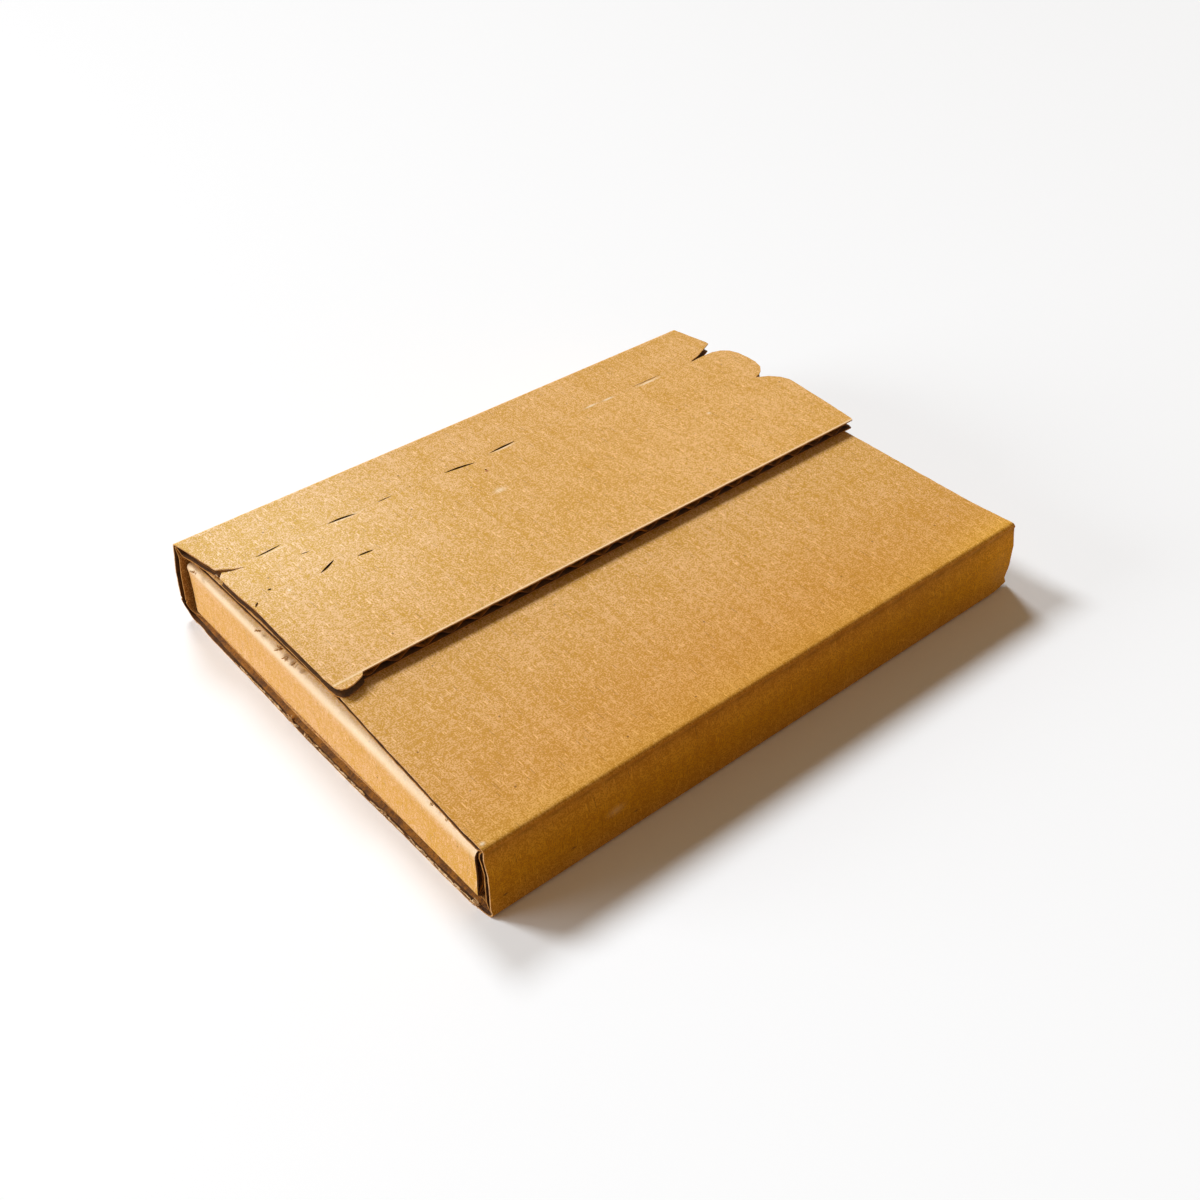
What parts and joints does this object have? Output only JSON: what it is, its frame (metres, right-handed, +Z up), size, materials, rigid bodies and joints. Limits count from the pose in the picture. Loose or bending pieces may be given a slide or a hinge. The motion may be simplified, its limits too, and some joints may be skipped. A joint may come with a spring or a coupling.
{
  "type": "corrugated mailer box",
  "caption": "Flat corrugated mailer box in brown kraft board, closed, with a perforated tear strip and pull tab across its flap.",
  "frame": {"origin": "centre of the underside, on the surface that the box lies on", "axes": "+X along the folds towards the pull tab, +Y towards the fold that the closing flap hangs on, +Z up"},
  "size_m": [0.1498, 0.1122, 0.0206],
  "materials": {
    "kraft_outer": "matte brown kraft liner with fibre specks",
    "kraft_inner": "matte brown kraft liner"
  },
  "bodies": {
    "root": {"outer_wrap": "kraft_outer", "inner_tray": "kraft_inner"}
  },
  "joints": []
}
